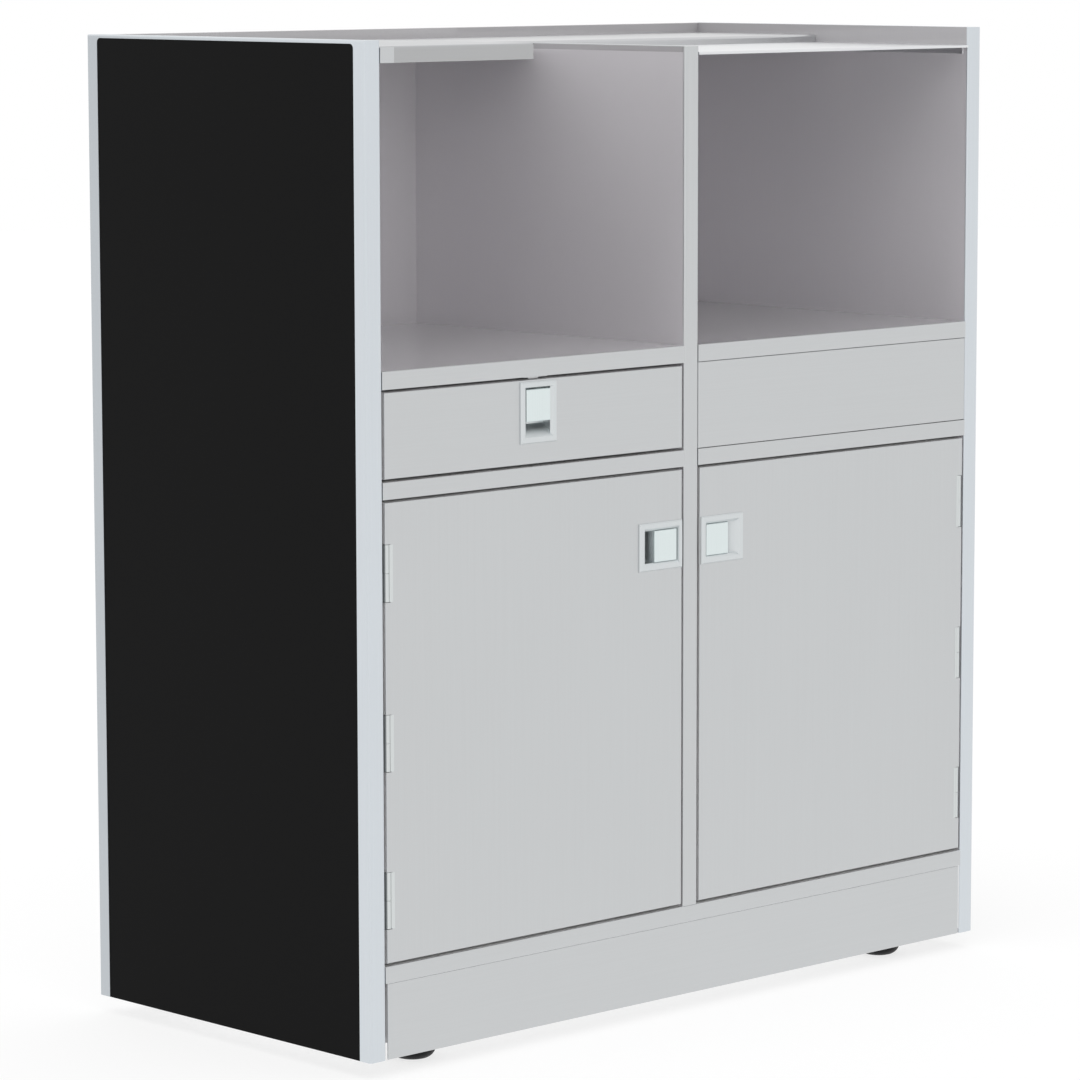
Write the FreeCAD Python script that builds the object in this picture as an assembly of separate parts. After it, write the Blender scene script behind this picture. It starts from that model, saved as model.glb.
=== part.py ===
import FreeCAD, Part
import math
import os

V = FreeCAD.Vector

# ---------------------------------------------------------------------------
# Driving dimensions, in millimetres.
# Working frame: x from the left outer face, y from the front plane towards the
# back, z from the floor.  save() moves each piece so that the origin lies at
# the bottom centre of the whole station.
# ---------------------------------------------------------------------------

# Carcass
WIDTH = 955.0
DEPTH = 455.0
SIDE_HEIGHT = 1067.0
FLOOR_GAP = 19.0
SIDE_THICKNESS = 22.0
SIDE_EDGE_RADIUS = 3.0
FRAME_INNER_RADIUS = 2.5
DIVIDER_THICKNESS = 22.0
REAR_THICKNESS = 18.0
SHEET = 1.2
HEAVY_SHEET = 1.5
EDGE_RADIUS = 1.5
LINER_EDGE_RADIUS = 0.6
HAIRLINE = 0.35

# Side panels
FRONT_POST = 17.0
REAR_POST = 18.0
TOP_TRIM = 3.5
BOARD_RECESS = 0.5
BOARD_CORNER_RADIUS = 5.0
BOARD_CLEARANCE = 0.3

# Heights of the front, from the carcass bottom upwards
KICK_HEIGHT = 81.75
BOTTOM_RAIL = 18.0
DOOR_HEIGHT = 487.0
MID_RAIL = 18.0
DRAWER_HEIGHT = 90.5
BAY_LIP = 19.0
REVEAL = 3.0
RAIL_DEPTH = 40.0
LIP_RETURN = 20.0

# Top
UPSTAND = 23.4
DECK_EDGE = 3.0
DECK_SIDE_FLANGE = 10.0
DECK_HEM = 8.0
DECK_FRONT_RADIUS = 1.0
REAR_DECK_RISE = 8.8
REAR_DECK_DEPTH = 197.0
TOP_EDGE_RADIUS = 3.0
LEDGE_WIDTH = 218.0
LEDGE_HEIGHT = 17.0
LEDGE_BRACKET_WIDTH = 19.0
LEDGE_BRACKET_DROP = 1.0
DIVIDER_RISE = 6.5

# Kick plate, base channels and feet
KICK_SLIT_HEIGHT = 18.0
KICK_SLIT_CLEARANCE = 0.5
KICK_RETURN = 20.0
KICK_BRACKET = 38.0
KICK_BRACKET_MARGIN = 5.0
CHANNEL_WIDTH = 40.0
CHANNEL_SHEET = 2.0
CHANNEL_LIFT = 43.0
FOOT_SIDE_INSET = 107.0
FOOT_END_INSET = 53.0
FOOT_RADIUS = 25.0
FOOT_HEIGHT = 13.0
STEM_RADIUS = 6.0
STEM_RISE = 30.0
STEM_CLEARANCE = 0.3
NUT_RADIUS = 10.4
NUT_HEIGHT = 10.0

# Doors
DOOR_THICKNESS = 20.0
STOP_WIDTH = 12.5
STOP_LEG = 12.0
STOP_END_GAP = 20.0
STOP_CLEARANCE = 0.5

# Hinges
HINGE_HEIGHTS = (170.0, 337.0, 516.0)
HINGE_LENGTH = 60.0
HINGE_END_CLEARANCE = 0.3
HINGE_RADIUS = 4.3
HINGE_AXIS_INSET = 3.6
HINGE_AXIS_DEPTH = 4.5
HINGE_PIN_RADIUS = 2.0
HINGE_RUNNING_CLEARANCE = 0.05
HINGE_LEAF = 1.5
HINGE_LEAF_DEPTH = 28.0
HINGE_NOTCH_CLEARANCE = 0.5
HINGE_NOTCH_REACH = 3.5

# Flush latches
LATCH_LENGTH = 66.5
LATCH_WIDTH = 53.0
LATCH_PROUD = 2.5
LATCH_BEVEL = 1.5
LATCH_DEPTH = 15.0
LATCH_TUB_LENGTH = 56.0
LATCH_TUB_WIDTH = 39.0
LATCH_CUTOUT_CLEARANCE = 0.2
LATCH_DOOR_INSET = 1.0
LATCH_DRAWER_INSET = 2.0
LATCH_DROP = 81.6
FLAP_LENGTH = 34.5
FLAP_WIDTH = 35.0
FLAP_THICKNESS = 3.0
FLAP_BEVEL = 0.6
FLAP_END_INSET = 8.4
FLAP_SET_BACK = 1.3
FLAP_CLEARANCE = 0.4
FLAP_END_GAP = 1.5
FLAP_ANGLE = 25.0
FLAP_BARREL = 2.2
FLAP_PIN_RADIUS = 1.25
FLAP_PIN_CLEARANCE = 0.05
FLAP_PIN_INSET = 1.6
FLAP_PIN_DEPTH = 2.0
ARM_THICKNESS = 2.0
ARM_WIDTH = 6.0
ARM_REACH = 10.0
POCKET_FLOOR = 6.4
SCOOP_DEPTH = 11.0
SCOOP_END = 26.5
SCOOP_TOE = 13.0
SCOOP_HEEL = 2.0
MOUTH_FLARE = 3.0
MOUTH_END_FLARE = 1.0
BOLT_WIDTH = 14.4
BOLT_THICKNESS = 5.0
BOLT_DEPTH = 7.6
BOLT_START = 9.5
BOLT_SPRING_ROOM = 8.0
BOLT_CLEARANCE = 0.3
BOLT_NOSE = 1.6
BOLT_SLOT_BACK = 2.1
BOLT_SLOT_FRONT = 2.8
SPRING_SHEET = 0.8
STRIKE_SHEET = 1.0
STRIKE_LENGTH = 34.0
STRIKE_WIDTH = 13.0

# Drawer
SLIDE_SPACE = 13.0
SLIDE_SETBACK = 2.0
SLIDE_BACK_GAP = 15.0
SLIDE_HEIGHT = 45.0
SLIDE_SHEET = 1.5
SLIDE_PLAY = 0.3
SLIDE_WEB_GAP = 1.0
SLIDE_FLANGE = 7.5
SLIDE_LIFT = 44.0
BOX_LIFT = 9.0
BOX_HEIGHT = 70.0
BOX_BACK_GAP = 17.0
BOX_CORNER_RADIUS = 4.0

# Shelves
SHELF_HEIGHT = 333.0
SHELF_FLANGE = 18.0
SHELF_FRONT = 45.0
SHELF_CLEARANCE = 0.5
CLIP_SIZE = 12.0
CLIP_HEIGHT = 20.0
CLIP_WIDTH = 20.0
CLIP_SHEET = 2.0
CLIP_INSET = 25.0

# How far a cutting shape runs past the surface it cuts
OVERCUT = 1.0

# ---------------------------------------------------------------------------
# Levels and lines that follow from them
# ---------------------------------------------------------------------------

CARCASS_BASE = FLOOR_GAP
CHANNEL_BASE = CARCASS_BASE + CHANNEL_LIFT
STEM_TOP = CHANNEL_BASE + STEM_RISE
SIDE_TOP = CARCASS_BASE + SIDE_HEIGHT
RAIL_BASE = CARCASS_BASE + KICK_HEIGHT + HAIRLINE
FLOOR_TOP = RAIL_BASE + BOTTOM_RAIL
DOOR_BASE = FLOOR_TOP + REVEAL
DOOR_TOP = DOOR_BASE + DOOR_HEIGHT
MID_RAIL_BASE = DOOR_TOP + REVEAL
MID_RAIL_TOP = MID_RAIL_BASE + MID_RAIL
DRAWER_BASE = MID_RAIL_TOP + REVEAL
DRAWER_TOP = DRAWER_BASE + DRAWER_HEIGHT
LIP_BASE = DRAWER_TOP + REVEAL
BAY_FLOOR = LIP_BASE + BAY_LIP
BAY_TOP = SIDE_TOP - UPSTAND
FRONT_DECK_TOP = BAY_TOP + DECK_EDGE
REAR_DECK_TOP = FRONT_DECK_TOP + REAR_DECK_RISE
LEDGE_TOP = BAY_TOP + LEDGE_HEIGHT
DIVIDER_TOP = FRONT_DECK_TOP + DIVIDER_RISE

INNER_LEFT = SIDE_THICKNESS
INNER_RIGHT = WIDTH - SIDE_THICKNESS
INNER_BACK = DEPTH - REAR_THICKNESS
DIVIDER_LEFT = (WIDTH - DIVIDER_THICKNESS) / 2
DIVIDER_RIGHT = DIVIDER_LEFT + DIVIDER_THICKNESS
BAY_CENTRE = (INNER_LEFT + DIVIDER_LEFT) / 2
REAR_DECK_FRONT = INNER_BACK - REAR_DECK_DEPTH
DOOR_LEFT = INNER_LEFT + REVEAL
DOOR_RIGHT = DIVIDER_LEFT - REVEAL
LATCH_Z = DOOR_TOP - LATCH_DROP
SLIDE_Z = DRAWER_BASE + SLIDE_LIFT


# ---------------------------------------------------------------------------
# Helpers
# ---------------------------------------------------------------------------

def block(x0, x1, y0, y1, z0, z1):
    """A rectangular block between two corners."""
    return Part.makeBox(x1 - x0, y1 - y0, z1 - z0, V(x0, y0, z0))


def rod(radius, start, length, axis):
    """A round bar from a start point along an axis."""
    return Part.makeCylinder(radius, length, start, axis)


def join(shapes):
    """One solid from touching or overlapping shapes."""
    return shapes[0].multiFuse(shapes[1:]).removeSplitter()


def group(shapes):
    """Separate solids that share one node."""
    return Part.makeCompound(shapes)


def edges_at(shape, test):
    """Straight edges whose centre and direction pass a test."""
    found = []
    for edge in shape.Edges:
        if len(edge.Vertexes) != 2:
            continue
        start, end = edge.Vertexes[0].Point, edge.Vertexes[1].Point
        if test((start + end) * 0.5, (end - start).normalize()):
            found.append(edge)
    return found


def near(a, b):
    return abs(a - b) < 0.01


def pan(x0, x1, y0, y1, z0, z1, opening, sheet=SHEET, radius=EDGE_RADIUS):
    """A folded sheet tray.  Its base lies opposite the open side, '+y' or '-z'."""
    outer = block(x0, x1, y0, y1, z0, z1)
    if opening == "+y":
        rim = edges_at(outer, lambda c, d: near(c.y, y0))
        inner = block(x0 + sheet, x1 - sheet, y0 + sheet, y1 + OVERCUT, z0 + sheet, z1 - sheet)
    else:
        rim = edges_at(outer, lambda c, d: near(c.z, z1) and near(c.y, y0))
        inner = block(x0 + sheet, x1 - sheet, y0 + sheet, y1 - sheet, z0 - OVERCUT, z1 - sheet)
    return outer.makeFillet(radius, rim).cut(inner)


def channel(x0, x1, y0, y1, z0, z1, sheet, web):
    """A C-channel along x, its web at the front ('-y') or the back ('+y')."""
    outer = block(x0, x1, y0, y1, z0, z1)
    if web == "-y":
        inner_y0, inner_y1 = y0 + sheet, y1 + OVERCUT
    else:
        inner_y0, inner_y1 = y0 - OVERCUT, y1 - sheet
    return outer.cut(block(x0 - OVERCUT, x1 + OVERCUT, inner_y0, inner_y1, z0 + sheet, z1 - sheet))


def mirrored(shape, x_plane):
    """The mirror image of a shape in a plane of constant x."""
    return shape.mirror(V(x_plane, 0, 0), V(1, 0, 0))


def to_right(shape):
    """The same piece on the right half of the station."""
    return mirrored(shape, WIDTH / 2)


def save(name, shape):
    """Write one sub-part with the station's bottom centre at the origin."""
    placed = shape.copy()
    placed.translate(V(-WIDTH / 2, -(DEPTH - LATCH_PROUD) / 2, 0))
    placed.exportStep("parts/" + name + ".step")


# ---------------------------------------------------------------------------
# Carcass
# ---------------------------------------------------------------------------

def side_pocket(x0, x1, clearance):
    """The board's space in a side frame, with rounded upper corners."""
    y0 = FRONT_POST + clearance
    y1 = DEPTH - REAR_POST - clearance
    top = SIDE_TOP - TOP_TRIM - clearance
    body = block(x0, x1, y0, y1, CARCASS_BASE, top)
    corners = edges_at(body, lambda c, d: near(abs(d.x), 1) and near(c.z, top))
    return body.makeFillet(BOARD_CORNER_RADIUS, corners)


def side_frame():
    """Left side frame: inner skin, hollow front and rear posts, and a top trim."""
    body = block(0, SIDE_THICKNESS, 0, DEPTH, CARCASS_BASE, SIDE_TOP)
    outer_edges = edges_at(body, lambda c, d: near(c.x, 0) and c.z > CARCASS_BASE + 1)
    body = body.makeFillet(SIDE_EDGE_RADIUS, outer_edges)
    inner_front = edges_at(body, lambda c, d: near(c.x, SIDE_THICKNESS) and near(c.y, 0))
    body = body.makeFillet(FRAME_INNER_RADIUS, inner_front)
    frame = body.cut(side_pocket(-1, SIDE_THICKNESS - HEAVY_SHEET, 0))
    for y0, y1 in ((0, FRONT_POST), (DEPTH - REAR_POST, DEPTH)):
        hollow = block(
            HEAVY_SHEET, SIDE_THICKNESS - HEAVY_SHEET,
            y0 + HEAVY_SHEET, y1 - HEAVY_SHEET,
            CARCASS_BASE - OVERCUT, SIDE_TOP - SIDE_EDGE_RADIUS - HEAVY_SHEET,
        )
        frame = frame.cut(hollow)
    return frame


def side_board():
    """Black laminated board, seated in the left side frame."""
    return side_pocket(BOARD_RECESS, SIDE_THICKNESS - HEAVY_SHEET, BOARD_CLEARANCE)


def rear_liner():
    """Inner back wall, a tray open to the rear, rising to the top as the gallery."""
    return pan(
        INNER_LEFT, INNER_RIGHT, INNER_BACK, DEPTH,
        CARCASS_BASE, SIDE_TOP, "+y", SHEET, LINER_EDGE_RADIUS,
    )


def back_panel():
    """Outer back sheet, let in between the rear liner's flanges."""
    return block(
        INNER_LEFT + SHEET, INNER_RIGHT - SHEET,
        DEPTH - BOARD_RECESS - HEAVY_SHEET, DEPTH - BOARD_RECESS,
        CARCASS_BASE + SHEET, SIDE_TOP - SHEET,
    )


def divider():
    """Hollow wall between the bays, open at the rear, slotted for the door bolts."""
    body = block(DIVIDER_LEFT, DIVIDER_RIGHT, 0, INNER_BACK, FLOOR_TOP, DIVIDER_TOP)
    front_edges = edges_at(body, lambda c, d: near(c.y, 0) and near(abs(d.z), 1))
    body = body.makeFillet(FRAME_INNER_RADIUS, front_edges)
    hollow = block(
        DIVIDER_LEFT + SHEET, DIVIDER_RIGHT - SHEET,
        SHEET, INNER_BACK + OVERCUT,
        FLOOR_TOP + SHEET, DIVIDER_TOP - SHEET,
    )
    body = body.cut(hollow)
    deck_seat = block(
        DIVIDER_LEFT - OVERCUT, DIVIDER_RIGHT + OVERCUT,
        REAR_DECK_FRONT, INNER_BACK + OVERCUT,
        BAY_TOP, DIVIDER_TOP + OVERCUT,
    )
    bolt_slot = block(
        DIVIDER_LEFT - OVERCUT, DIVIDER_RIGHT + OVERCUT,
        BOLT_DEPTH - BOLT_CLEARANCE, BOLT_DEPTH + BOLT_THICKNESS + BOLT_CLEARANCE,
        LATCH_Z - BOLT_WIDTH / 2 - BOLT_CLEARANCE, LATCH_Z + BOLT_WIDTH / 2 + BOLT_CLEARANCE,
    )
    return body.cut(deck_seat).cut(bolt_slot)


def bay_floor(x0, x1):
    """Bay floor tray with a deep front lip and a return under it."""
    tray = pan(x0, x1, 0, INNER_BACK, LIP_BASE, BAY_FLOOR, "-z")
    lip_return = block(x0, x1, SHEET, LIP_RETURN, LIP_BASE, LIP_BASE + SHEET)
    return join([tray, lip_return])


def drawer_bolt_slot():
    """Opening in the left bay floor's return for the drawer bolt."""
    half = BOLT_WIDTH / 2 + BOLT_CLEARANCE
    return block(
        BAY_CENTRE - half, BAY_CENTRE + half,
        BOLT_DEPTH - BOLT_CLEARANCE, BOLT_DEPTH + BOLT_THICKNESS + BOLT_CLEARANCE,
        LIP_BASE - OVERCUT, LIP_BASE + SHEET + OVERCUT,
    )


def mid_rail(x0, x1):
    """Rail between an upper front and a door: a channel open to the rear."""
    return channel(x0, x1, 0, RAIL_DEPTH, MID_RAIL_BASE, MID_RAIL_TOP, SHEET, "-y")


def blank_panel():
    """Fixed front over the right door, set in hairline joints."""
    return pan(
        DIVIDER_RIGHT + HAIRLINE, INNER_RIGHT - HAIRLINE,
        0, DOOR_THICKNESS,
        MID_RAIL_TOP + HAIRLINE, LIP_BASE - HAIRLINE, "+y",
    )


def cabinet_floor():
    """Floor of both cabinets; its front lip is the bottom rail."""
    return pan(INNER_LEFT, INNER_RIGHT, 0, INNER_BACK, RAIL_BASE, FLOOR_TOP, "-z")


# ---------------------------------------------------------------------------
# Base
# ---------------------------------------------------------------------------

def kick_plate():
    """Plinth front, a tray open to the rear, notched at the foot of each end."""
    top = CARCASS_BASE + KICK_HEIGHT
    plate = pan(INNER_LEFT + REVEAL, INNER_RIGHT - REVEAL, 0, KICK_RETURN, CARCASS_BASE, top, "+y")
    notch = block(
        INNER_LEFT, INNER_RIGHT, SHEET + KICK_SLIT_CLEARANCE, KICK_RETURN + OVERCUT,
        CARCASS_BASE - OVERCUT, CARCASS_BASE + KICK_SLIT_HEIGHT,
    )
    return plate.cut(notch)


def kick_brackets():
    """Angles that hold the kick plate's end returns to the side frames."""
    z0 = CARCASS_BASE + KICK_SLIT_HEIGHT + KICK_BRACKET_MARGIN
    z1 = CARCASS_BASE + KICK_HEIGHT - KICK_BRACKET_MARGIN
    face = block(INNER_LEFT, INNER_LEFT + KICK_BRACKET, KICK_RETURN, KICK_RETURN + HEAVY_SHEET, z0, z1)
    leg_end = FOOT_END_INSET - CHANNEL_WIDTH / 2
    leg = block(INNER_LEFT, INNER_LEFT + HEAVY_SHEET, KICK_RETURN, leg_end, z0, z1)
    bracket = join([face, leg])
    return group([bracket, to_right(bracket)])


def foot_centres():
    """Names and plan positions of the four levelling feet."""
    places = []
    for side, x in (("left", FOOT_SIDE_INSET), ("right", WIDTH - FOOT_SIDE_INSET)):
        for end, y in (("front", FOOT_END_INSET), ("rear", DEPTH - FOOT_END_INSET)):
            places.append((end + "_" + side, x, y))
    return places


def stem_hole(x, y, base, thickness):
    """What a foot stem needs through one layer above a level."""
    start = V(x, y, base - OVERCUT)
    return rod(STEM_RADIUS + STEM_CLEARANCE, start, thickness + 2 * OVERCUT, V(0, 0, 1))


def base_channel(y_centre, web):
    """Cross channel under the cabinet floor, drilled for two foot stems."""
    y0 = y_centre - CHANNEL_WIDTH / 2
    y1 = y_centre + CHANNEL_WIDTH / 2
    x0 = INNER_LEFT + SHEET
    x1 = INNER_RIGHT - SHEET
    body = channel(x0, x1, y0, y1, CHANNEL_BASE, FLOOR_TOP - SHEET, CHANNEL_SHEET, web)
    for name, x, y in foot_centres():
        if near(y, y_centre):
            body = body.cut(stem_hole(x, y, CHANNEL_BASE, CHANNEL_SHEET))
    return body


def foot_nuts():
    """Hexagon weld nuts on the base channels."""
    nuts = []
    base = CHANNEL_BASE + CHANNEL_SHEET
    for name, x, y in foot_centres():
        corners = []
        for turn in range(7):
            angle = math.radians(60 * turn)
            corners.append(V(x + NUT_RADIUS * math.cos(angle), y + NUT_RADIUS * math.sin(angle), base))
        body = Part.Face(Part.makePolygon(corners)).extrude(V(0, 0, NUT_HEIGHT))
        nuts.append(body.cut(stem_hole(x, y, base, NUT_HEIGHT)))
    return group(nuts)


def foot(x, y):
    """Levelling foot: a round moulded pad on a threaded stem."""
    up = V(0, 0, 1)
    pad = rod(FOOT_RADIUS, V(x, y, 0), FOOT_HEIGHT, up)
    stem = rod(STEM_RADIUS, V(x, y, FOOT_HEIGHT), STEM_TOP - FOOT_HEIGHT, up)
    return join([pad, stem])


# ---------------------------------------------------------------------------
# Top
# ---------------------------------------------------------------------------

def rear_deck():
    """Rear half of the top, with a rolled front edge over the open bays."""
    return pan(
        INNER_LEFT, INNER_RIGHT, REAR_DECK_FRONT, INNER_BACK,
        BAY_TOP, REAR_DECK_TOP, "-z", HEAVY_SHEET, TOP_EDGE_RADIUS,
    )


def front_deck():
    """Lower front half of the top over the right bay, hemmed at the front."""
    sheet = block(
        DIVIDER_RIGHT, INNER_RIGHT, 0, REAR_DECK_FRONT,
        FRONT_DECK_TOP - HEAVY_SHEET, FRONT_DECK_TOP,
    )
    hem = block(DIVIDER_RIGHT, INNER_RIGHT, 0, DECK_HEM, BAY_TOP, FRONT_DECK_TOP)
    shapes = [sheet, hem]
    for x0 in (DIVIDER_RIGHT, INNER_RIGHT - HEAVY_SHEET):
        base = FRONT_DECK_TOP - DECK_SIDE_FLANGE
        flange = block(x0, x0 + HEAVY_SHEET, DECK_HEM, REAR_DECK_FRONT, base, FRONT_DECK_TOP)
        shapes.append(flange)
    body = join(shapes)
    front_top = edges_at(body, lambda c, d: near(c.y, 0) and near(c.z, FRONT_DECK_TOP))
    return body.makeFillet(DECK_FRONT_RADIUS, front_top)


def left_ledge():
    """Raised ledge at the left front of the top: a rolled tray, open below."""
    x1 = INNER_LEFT + LEDGE_WIDTH
    body = block(INNER_LEFT, x1, HEAVY_SHEET, REAR_DECK_FRONT, BAY_TOP, LEDGE_TOP)
    front = edges_at(body, lambda c, d: near(c.y, HEAVY_SHEET) and near(c.z, LEDGE_TOP))
    end = edges_at(body, lambda c, d: near(c.x, x1) and near(c.z, LEDGE_TOP))
    body = body.makeFillet(TOP_EDGE_RADIUS, front + end)
    hollow = block(
        INNER_LEFT + HEAVY_SHEET, x1 - HEAVY_SHEET,
        2 * HEAVY_SHEET, REAR_DECK_FRONT - HEAVY_SHEET,
        BAY_TOP - OVERCUT, LEDGE_TOP - HEAVY_SHEET,
    )
    return body.cut(hollow)


def ledge_bracket():
    """Plate in the front plane that carries the ledge's left end."""
    return block(
        INNER_LEFT, INNER_LEFT + LEDGE_BRACKET_WIDTH, 0, HEAVY_SHEET,
        BAY_TOP, LEDGE_TOP - LEDGE_BRACKET_DROP,
    )


# ---------------------------------------------------------------------------
# Doors, stops and hinges.  Everything is drawn for the left door.
# ---------------------------------------------------------------------------

HINGE_X = DOOR_LEFT + HINGE_AXIS_INSET
HINGE_Y = HINGE_AXIS_DEPTH
HINGE_NOTCH_X = HINGE_X + HINGE_NOTCH_REACH
HINGE_NOTCH_Y = HINGE_Y + HINGE_RADIUS + HINGE_NOTCH_CLEARANCE


def door_latch_x():
    return DOOR_RIGHT - LATCH_DOOR_INSET - LATCH_LENGTH / 2


def left_door_skin():
    """Door face with folded edges, notched for the hinges and cut for the latch."""
    body = pan(DOOR_LEFT, DOOR_RIGHT, 0, DOOR_THICKNESS, DOOR_BASE, DOOR_TOP, "+y")
    for height in HINGE_HEIGHTS:
        z = CARCASS_BASE + height
        half = HINGE_LENGTH / 2 + HINGE_NOTCH_CLEARANCE
        notch = block(DOOR_LEFT - OVERCUT, HINGE_NOTCH_X, -OVERCUT, HINGE_NOTCH_Y, z - half, z + half)
        body = body.cut(notch)
    cutout = latch_cutout(LATCH_DOOR_INSET)
    cutout.translate(V(door_latch_x(), 0, LATCH_Z))
    return body.cut(cutout)


def left_door_inner():
    """Back sheet of the door, let in between the folded edges."""
    return block(
        DOOR_LEFT + SHEET, DOOR_RIGHT - SHEET,
        DOOR_THICKNESS - SHEET, DOOR_THICKNESS,
        DOOR_BASE + SHEET, DOOR_TOP - SHEET,
    )


def door_stops():
    """Angles on the divider that stop the doors flush with the frame."""
    y0 = DOOR_THICKNESS + STOP_CLEARANCE
    z0 = DOOR_BASE + STOP_END_GAP
    z1 = DOOR_TOP - STOP_END_GAP
    face = block(DIVIDER_LEFT - STOP_WIDTH, DIVIDER_LEFT, y0, y0 + HEAVY_SHEET, z0, z1)
    leg = block(DIVIDER_LEFT - HEAVY_SHEET, DIVIDER_LEFT, y0, y0 + STOP_LEG, z0, z1)
    stop = join([face, leg])
    return group([stop, to_right(stop)])


def hinge_spans():
    """Foot, middle and head of each lift-off hinge."""
    spans = []
    for height in HINGE_HEIGHTS:
        middle = CARCASS_BASE + height
        spans.append((middle - HINGE_LENGTH / 2, middle, middle + HINGE_LENGTH / 2))
    return spans


def hinge_leaf(plate, tab, radius, z0, z1):
    """A hinge leaf: plate, tab and bored knuckle between two heights."""
    knuckle = rod(HINGE_RADIUS, V(HINGE_X, HINGE_Y, z0), z1 - z0, V(0, 0, 1))
    bore = rod(radius, V(HINGE_X, HINGE_Y, z0 - OVERCUT), z1 - z0 + 2 * OVERCUT, V(0, 0, 1))
    return join([plate, tab, knuckle]).cut(bore)


def hinge_frame_leaves():
    """Six leaves on the side frames, each with the lower knuckle."""
    leaves = []
    tab_front = HINGE_Y - HINGE_LEAF / 2
    tab_back = tab_front + HINGE_LEAF
    for low, middle, high in hinge_spans():
        top = middle - HINGE_END_CLEARANCE / 2
        plate = block(INNER_LEFT, INNER_LEFT + HINGE_LEAF, tab_front, HINGE_LEAF_DEPTH, low, high)
        tab = block(INNER_LEFT, HINGE_X, tab_front, tab_back, low, top)
        leaf = hinge_leaf(plate, tab, HINGE_PIN_RADIUS, low, top)
        leaves.extend([leaf, to_right(leaf)])
    return group(leaves)


def hinge_pins():
    """Six hinge pins, fixed in the lower knuckles."""
    pins = []
    for low, middle, high in hinge_spans():
        pin = rod(HINGE_PIN_RADIUS, V(HINGE_X, HINGE_Y, low), HINGE_LENGTH, V(0, 0, 1))
        pins.extend([pin, to_right(pin)])
    return group(pins)


def left_hinge_door_leaves():
    """Three leaves inside the door's folded edge, each with the upper knuckle."""
    leaves = []
    x0 = DOOR_LEFT + SHEET
    x1 = x0 + HINGE_LEAF
    back = DOOR_THICKNESS - SHEET
    radius = HINGE_PIN_RADIUS + HINGE_RUNNING_CLEARANCE
    for low, middle, high in hinge_spans():
        base = middle + HINGE_END_CLEARANCE / 2
        plate = block(x0, x1, HINGE_NOTCH_Y, back, low, high)
        tab = block(x0, x1, HINGE_Y, back, base, high)
        leaves.append(hinge_leaf(plate, tab, radius, base, high))
    return group(leaves)


# ---------------------------------------------------------------------------
# Flush latch.  Local frame: centre of the bezel at the door face, x towards
# the bolt, y into the door, z across.
# ---------------------------------------------------------------------------

FLAP_END = LATCH_LENGTH / 2 - FLAP_END_INSET
FLAP_FACE = FLAP_SET_BACK - LATCH_PROUD
PIN_X = FLAP_END - FLAP_PIN_INSET


def latch_cutout(inset):
    """What a latch cuts from its panel: the tub's window and the bolt's slot."""
    length = LATCH_TUB_LENGTH / 2 + LATCH_CUTOUT_CLEARANCE
    width = LATCH_TUB_WIDTH / 2 + LATCH_CUTOUT_CLEARANCE
    window = block(-length, length, -OVERCUT, SHEET + OVERCUT, -width, width)
    half = BOLT_WIDTH / 2 + BOLT_CLEARANCE
    edge = LATCH_LENGTH / 2 + inset
    slot = block(
        edge - SHEET - OVERCUT, edge + OVERCUT,
        BOLT_DEPTH - BOLT_CLEARANCE, BOLT_DEPTH + BOLT_THICKNESS + BOLT_CLEARANCE,
        -half, half,
    )
    return join([window, slot])


def latch_rectangle(x0, x1, y, half_width):
    """Outline across the latch at one depth."""
    return Part.makePolygon([
        V(x0, y, -half_width),
        V(x1, y, -half_width),
        V(x1, y, half_width),
        V(x0, y, half_width),
        V(x0, y, -half_width),
    ])


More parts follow.
